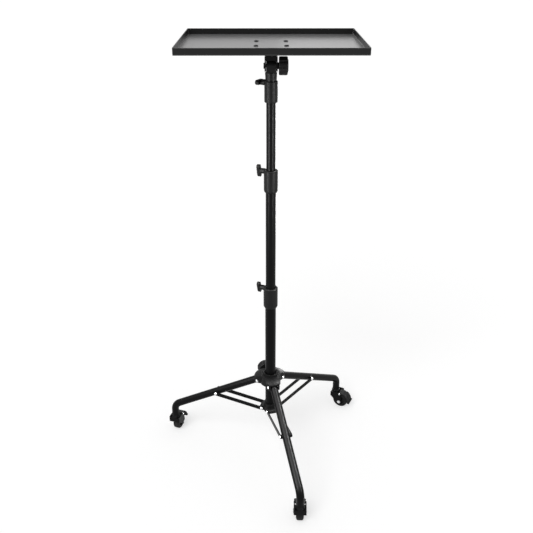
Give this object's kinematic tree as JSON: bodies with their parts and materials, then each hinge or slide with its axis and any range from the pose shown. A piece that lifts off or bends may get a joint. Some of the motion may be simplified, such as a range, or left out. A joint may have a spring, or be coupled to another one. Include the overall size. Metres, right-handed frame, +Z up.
{
  "type": "portable projector stand",
  "caption": "Black wheeled tripod stand with a lipped tray on a tilting head, a telescopic column and folding braced legs.",
  "frame": {"origin": "middle of the footprint on the floor, under the tripod", "axes": "+Z up along the column, +X along the tray's long side, -Y towards the viewer's side of the tray"},
  "size_m": [0.5394, 0.5, 1.1015],
  "materials": {
    "black_powder_coat": "satin black powder coat",
    "moulded_black": "moulded black plastic",
    "zinc_plate": "bright zinc",
    "tyre_rubber": "black rubber"
  },
  "bodies": {
    "column": {"lower_tube": "black_powder_coat", "lower_collar": "moulded_black", "lower_collar_knob": "moulded_black", "column_end_cap": "moulded_black", "brace_spider": "moulded_black"},
    "middle_stage": {"middle_tube": "black_powder_coat", "middle_collar": "moulded_black", "middle_collar_knob": "moulded_black"},
    "upper_stage": {"upper_tube": "black_powder_coat", "top_socket": "moulded_black", "top_socket_knob": "moulded_black"},
    "head": {"tilt_base": "moulded_black"},
    "tray": {"tray_pan": "black_powder_coat", "tray_bracket": "black_powder_coat", "tilt_knob": "moulded_black"},
    "hub": {"leg_hub": "moulded_black", "hub_knob": "moulded_black", "hinge_pins": "zinc_plate"},
    "left_leg_arm": {"left_leg": "black_powder_coat", "left_caster_socket": "moulded_black"},
    "left_brace_pair": {"left_brace": "black_powder_coat", "left_brace_pins": "zinc_plate"},
    "left_caster": {"left_caster_fork": "black_powder_coat", "left_caster_axle": "zinc_plate"},
    "left_wheel": {"left_caster_wheel": "moulded_black", "left_caster_tyre": "tyre_rubber"},
    "left_pedal": {"left_caster_brake": "moulded_black"},
    "right_leg_arm": {"right_leg": "black_powder_coat", "right_caster_socket": "moulded_black"},
    "right_brace_pair": {"right_brace": "black_powder_coat", "right_brace_pins": "zinc_plate"},
    "right_caster": {"right_caster_fork": "black_powder_coat", "right_caster_axle": "zinc_plate"},
    "right_wheel": {"right_caster_wheel": "moulded_black", "right_caster_tyre": "tyre_rubber"},
    "right_pedal": {"right_caster_brake": "moulded_black"},
    "front_leg_arm": {"front_leg": "black_powder_coat", "front_caster_socket": "moulded_black"},
    "front_brace_pair": {"front_brace": "black_powder_coat", "front_brace_pins": "zinc_plate"},
    "front_caster": {"front_caster_fork": "black_powder_coat", "front_caster_axle": "zinc_plate"},
    "front_wheel": {"front_caster_wheel": "moulded_black", "front_caster_tyre": "tyre_rubber"},
    "front_pedal": {"front_caster_brake": "moulded_black"}
  },
  "joints": [
    {"name": "hub_slide", "type": "slide", "parent": "column", "child": "hub", "axis": [0, 0, 1], "range_m": [0, 0.16556]},
    {"name": "middle_slide", "type": "slide", "parent": "column", "child": "middle_stage", "axis": [0, 0, -1], "range_m": [0, 0.245]},
    {"name": "upper_slide", "type": "slide", "parent": "middle_stage", "child": "upper_stage", "axis": [0, 0, -1], "range_m": [0, 0.149]},
    {"name": "head_pan", "type": "hinge", "parent": "upper_stage", "child": "head", "pos_m": [0.01937, 0.03368, 1.0435], "axis": [0, 0, 1], "continuous": true},
    {"name": "tray_tilt", "type": "hinge", "parent": "head", "child": "tray", "pos_m": [0.01937, 0.03368, 1.0435], "axis": [1, 0, 0], "range_deg": [-45, 45]},
    {"name": "left_leg_fold", "type": "hinge", "parent": "hub", "child": "left_leg_arm", "pos_m": [-0.01197, 0.04231, 0.23018], "axis": [-0.2656, -0.9641, 0], "range_deg": [0, 45]},
    {"name": "left_brace_swing", "type": "hinge", "parent": "column", "child": "left_brace_pair", "pos_m": [-0.00136, 0.03939, 0.1425], "axis": [0.2656, 0.9641, 0], "range_deg": [0, 58.75]},
    {"name": "left_swivel", "type": "hinge", "parent": "left_leg_arm", "child": "left_caster", "pos_m": [-0.25155, 0.1083, 0.0585], "axis": [0, 0, 1], "continuous": true},
    {"name": "left_wheel_spin", "type": "hinge", "parent": "left_caster", "child": "left_wheel", "pos_m": [-0.24629, 0.12447, 0.022], "axis": [0.9511, -0.309, 0], "continuous": true},
    {"name": "left_brake_press", "type": "hinge", "parent": "left_caster", "child": "left_pedal", "pos_m": [-0.24629, 0.12447, 0.049], "axis": [-0.9511, 0.309, 0], "range_deg": [0, 6]},
    {"name": "right_leg_fold", "type": "hinge", "parent": "hub", "child": "right_leg_arm", "pos_m": [0.04251, 0.05649, 0.23018], "axis": [-0.7022, 0.712, 0], "range_deg": [0, 45]},
    {"name": "right_brace_swing", "type": "hinge", "parent": "column", "child": "right_brace_pair", "pos_m": [0.03467, 0.04877, 0.1425], "axis": [0.7022, -0.712, 0], "range_deg": [0, 58.75]},
    {"name": "right_swivel", "type": "hinge", "parent": "right_leg_arm", "child": "right_caster", "pos_m": [0.21944, 0.23098, 0.0585], "axis": [0, 0, 1], "continuous": true},
    {"name": "right_wheel_spin", "type": "hinge", "parent": "right_caster", "child": "right_wheel", "pos_m": [0.23459, 0.22326, 0.022], "axis": [-0.454, -0.891, 0], "continuous": true},
    {"name": "right_brake_press", "type": "hinge", "parent": "right_caster", "child": "right_pedal", "pos_m": [0.23459, 0.22326, 0.049], "axis": [0.454, 0.891, 0], "range_deg": [0, 6]},
    {"name": "front_leg_fold", "type": "hinge", "parent": "hub", "child": "front_leg_arm", "pos_m": [0.02756, 0.00222, 0.23018], "axis": [0.9677, 0.2521, 0], "range_deg": [0, 45]},
    {"name": "front_brace_swing", "type": "hinge", "parent": "column", "child": "front_brace_pair", "pos_m": [0.02478, 0.01287, 0.1425], "axis": [-0.9677, -0.2521, 0], "range_deg": [0, 58.75]},
    {"name": "front_swivel", "type": "hinge", "parent": "front_leg_arm", "child": "front_caster", "pos_m": [0.0902, -0.23825, 0.0585], "axis": [0, 0, 1], "continuous": true},
    {"name": "front_wheel_spin", "type": "hinge", "parent": "front_caster", "child": "front_wheel", "pos_m": [0.09079, -0.22126, 0.022], "axis": [0.9994, -0.0349, 0], "continuous": true},
    {"name": "front_brake_press", "type": "hinge", "parent": "front_caster", "child": "front_pedal", "pos_m": [0.09079, -0.22126, 0.049], "axis": [-0.9994, 0.0349, 0], "range_deg": [0, 6]}
  ],
  "couplings": [
    {"joint": "left_leg_fold", "follows": "hub_slide", "rad_per_m": 4.7438},
    {"joint": "left_brace_swing", "follows": "hub_slide", "rad_per_m": 6.1928},
    {"joint": "right_leg_fold", "follows": "hub_slide", "rad_per_m": 4.7438},
    {"joint": "right_brace_swing", "follows": "hub_slide", "rad_per_m": 6.1928},
    {"joint": "front_leg_fold", "follows": "hub_slide", "rad_per_m": 4.7438},
    {"joint": "front_brace_swing", "follows": "hub_slide", "rad_per_m": 6.1928}
  ]
}
